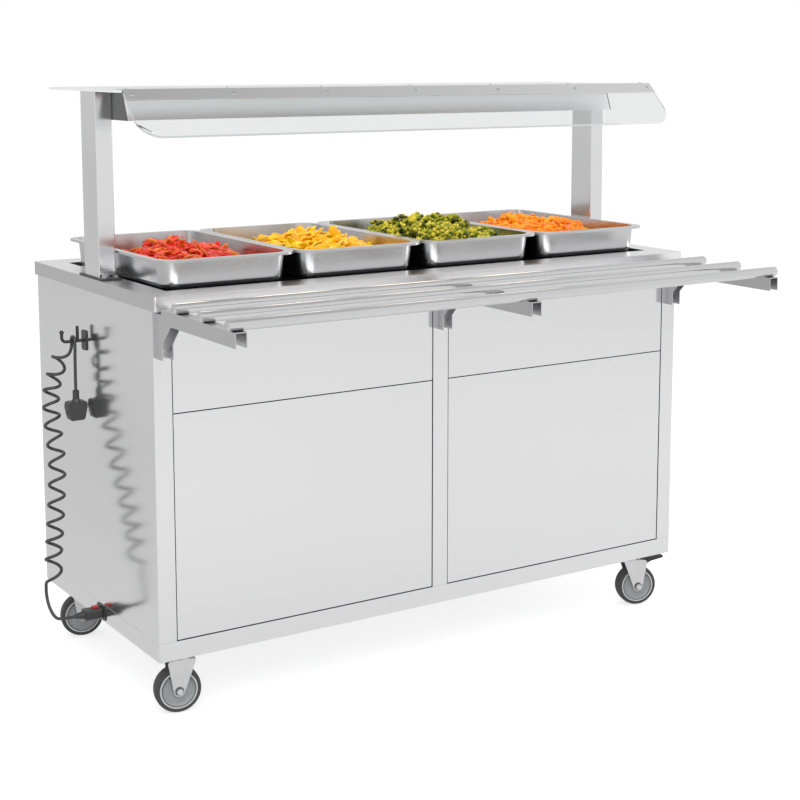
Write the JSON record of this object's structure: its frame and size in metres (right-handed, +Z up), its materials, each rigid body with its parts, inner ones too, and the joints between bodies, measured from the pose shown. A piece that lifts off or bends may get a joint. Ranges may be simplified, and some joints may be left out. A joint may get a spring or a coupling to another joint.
{
  "type": "mobile hot buffet counter",
  "caption": "Stainless hot buffet counter on casters: pans on a black glass hot plate, lamp gantry with sneeze glass, tray slide in front, curly mains lead on a hook.",
  "frame": {"origin": "on the floor, under the middle of the footprint of the counter with its tray slide, hook and controls", "axes": "+Z up, +X along the counter to the customer's right, -Y towards the customer and the tray slide"},
  "size_m": [1.5155, 1.0216, 1.3098],
  "materials": {
    "satin_steel": "satin",
    "polished_steel": "polished",
    "clear_glass": "polished",
    "black_glass": "glass-like gloss",
    "quartz_glass": "polished",
    "dark_metal": "matt",
    "zinc_steel": "zinc plated",
    "black_plastic": "matt",
    "switch_green": "gloss",
    "red_plastic": "gloss",
    "black_rubber": "matt",
    "brass_pins": "bright",
    "tyre_rubber": "matt",
    "hub_plastic": "satin",
    "heater_mat": "matt"
  },
  "bodies": {
    "counter": {"base_plinth": "satin_steel", "cabinet_floor": "satin_steel", "left_side_panel": "satin_steel", "right_side_panel": "satin_steel", "uprights": "satin_steel", "front_panels": "satin_steel", "control_panel": "satin_steel", "heat_regulators": "black_plastic", "switch_frame": "black_plastic", "door_tracks": "satin_steel", "countertop": "satin_steel", "glass_hotplate": "black_glass", "heating_elements": "heater_mat", "heater_tray": "satin_steel", "gantry_posts": "satin_steel", "post_feet": "dark_metal", "gantry_housing": "satin_steel", "gantry_end_caps": "dark_metal", "lamp_reflector": "polished_steel", "heat_lamps": "quartz_glass", "top_glass_shelf": "clear_glass", "sneeze_glass": "clear_glass", "clamp_strip": "satin_steel", "tray_rails": "polished_steel", "rail_end_caps": "polished_steel", "tray_brackets": "satin_steel", "frame_bolts": "polished_steel", "caster_plates": "zinc_steel", "cord_hook": "dark_metal", "mains_plug": "black_rubber", "plug_pins": "brass_pins", "cord_plug_tail": "black_rubber", "cord_curl": "black_rubber", "cord_inlet_tail": "black_rubber", "power_inlet": "black_plastic", "cord_connector": "black_rubber"},
    "pan_1": {"pan_1": "satin_steel"},
    "pan_2": {"pan_2": "satin_steel"},
    "pan_3": {"pan_3": "satin_steel"},
    "pan_4": {"pan_4": "satin_steel"},
    "door_left": {"door_left": "satin_steel"},
    "door_right": {"door_right": "satin_steel"},
    "knob_hotplate": {"knob_hotplate": "black_plastic"},
    "knob_gantry": {"knob_gantry": "black_plastic"},
    "power_switch": {"power_switch": "switch_green"},
    "release_tab": {"release_tab": "red_plastic"},
    "caster_front_left": {"fork_front_left": "zinc_steel"},
    "wheel_front_left": {"tyre_front_left": "tyre_rubber", "hub_front_left": "hub_plastic"},
    "caster_front_right": {"fork_front_right": "zinc_steel"},
    "wheel_front_right": {"tyre_front_right": "tyre_rubber", "hub_front_right": "hub_plastic"},
    "pedal_front_right": {"pedal_front_right": "black_plastic"},
    "caster_rear_left": {"fork_rear_left": "zinc_steel"},
    "wheel_rear_left": {"tyre_rear_left": "tyre_rubber", "hub_rear_left": "hub_plastic"},
    "caster_rear_right": {"fork_rear_right": "zinc_steel"},
    "wheel_rear_right": {"tyre_rear_right": "tyre_rubber", "hub_rear_right": "hub_plastic"},
    "pedal_rear_right": {"pedal_rear_right": "black_plastic"}
  },
  "joints": [
    {"name": "pan_1_lift", "type": "slide", "parent": "counter", "child": "pan_1", "axis": [0, 0, 1], "range_m": [0, 0.15]},
    {"name": "pan_2_lift", "type": "slide", "parent": "counter", "child": "pan_2", "axis": [0, 0, 1], "range_m": [0, 0.15]},
    {"name": "pan_3_lift", "type": "slide", "parent": "counter", "child": "pan_3", "axis": [0, 0, 1], "range_m": [0, 0.15]},
    {"name": "pan_4_lift", "type": "slide", "parent": "counter", "child": "pan_4", "axis": [0, 0, 1], "range_m": [0, 0.15]},
    {"name": "door_left_slide", "type": "slide", "parent": "counter", "child": "door_left", "axis": [1, 0, 0], "range_m": [0, 0.656]},
    {"name": "door_right_slide", "type": "slide", "parent": "counter", "child": "door_right", "axis": [-1, 0, 0], "range_m": [0, 0.656]},
    {"name": "knob_hotplate_turn", "type": "hinge", "parent": "counter", "child": "knob_hotplate", "pos_m": [-0.153, 0.4882, 0.81525], "axis": [0, -1, 0], "range_deg": [0, 270]},
    {"name": "knob_gantry_turn", "type": "hinge", "parent": "counter", "child": "knob_gantry", "pos_m": [0.207, 0.4882, 0.81525], "axis": [0, -1, 0], "range_deg": [0, 270]},
    {"name": "power_switch_rock", "type": "hinge", "parent": "counter", "child": "power_switch", "pos_m": [0.027, 0.4882, 0.81525], "axis": [-1, 0, 0], "range_deg": [0, 14]},
    {"name": "release_tab_slide", "type": "slide", "parent": "counter", "child": "release_tab", "axis": [-1, 0, 0], "range_m": [0, 0.004]},
    {"name": "front_left_swivel", "type": "hinge", "parent": "counter", "child": "caster_front_left", "pos_m": [-0.591, -0.1058, 0.135], "axis": [0, 0, 1], "continuous": true},
    {"name": "front_left_roll", "type": "hinge", "parent": "caster_front_left", "child": "wheel_front_left", "pos_m": [-0.60474, -0.10313, 0.05], "axis": [-0.1908, -0.9816, 0], "continuous": true},
    {"name": "front_right_swivel", "type": "hinge", "parent": "counter", "child": "caster_front_right", "pos_m": [0.645, -0.1058, 0.135], "axis": [0, 0, 1], "continuous": true},
    {"name": "front_right_roll", "type": "hinge", "parent": "caster_front_right", "child": "wheel_front_right", "pos_m": [0.65824, -0.11036, 0.05], "axis": [0.3256, 0.9455, 0], "continuous": true},
    {"name": "front_right_brake", "type": "hinge", "parent": "caster_front_right", "child": "pedal_front_right", "pos_m": [0.67337, -0.11557, 0.11], "axis": [0.3256, 0.9455, 0], "range_deg": [0, 12]},
    {"name": "rear_left_swivel", "type": "hinge", "parent": "counter", "child": "caster_rear_left", "pos_m": [-0.591, 0.4342, 0.135], "axis": [0, 0, 1], "continuous": true},
    {"name": "rear_left_roll", "type": "hinge", "parent": "caster_rear_left", "child": "wheel_rear_left", "pos_m": [-0.60464, 0.43735, 0.05], "axis": [-0.225, -0.9744, 0], "continuous": true},
    {"name": "rear_right_swivel", "type": "hinge", "parent": "counter", "child": "caster_rear_right", "pos_m": [0.645, 0.4342, 0.135], "axis": [0, 0, 1], "continuous": true},
    {"name": "rear_right_roll", "type": "hinge", "parent": "caster_rear_right", "child": "wheel_rear_right", "pos_m": [0.65886, 0.43615, 0.05], "axis": [-0.1392, 0.9903, 0], "continuous": true},
    {"name": "rear_right_brake", "type": "hinge", "parent": "caster_rear_right", "child": "pedal_rear_right", "pos_m": [0.67471, 0.43838, 0.11], "axis": [-0.1392, 0.9903, 0], "range_deg": [0, 12]}
  ]
}
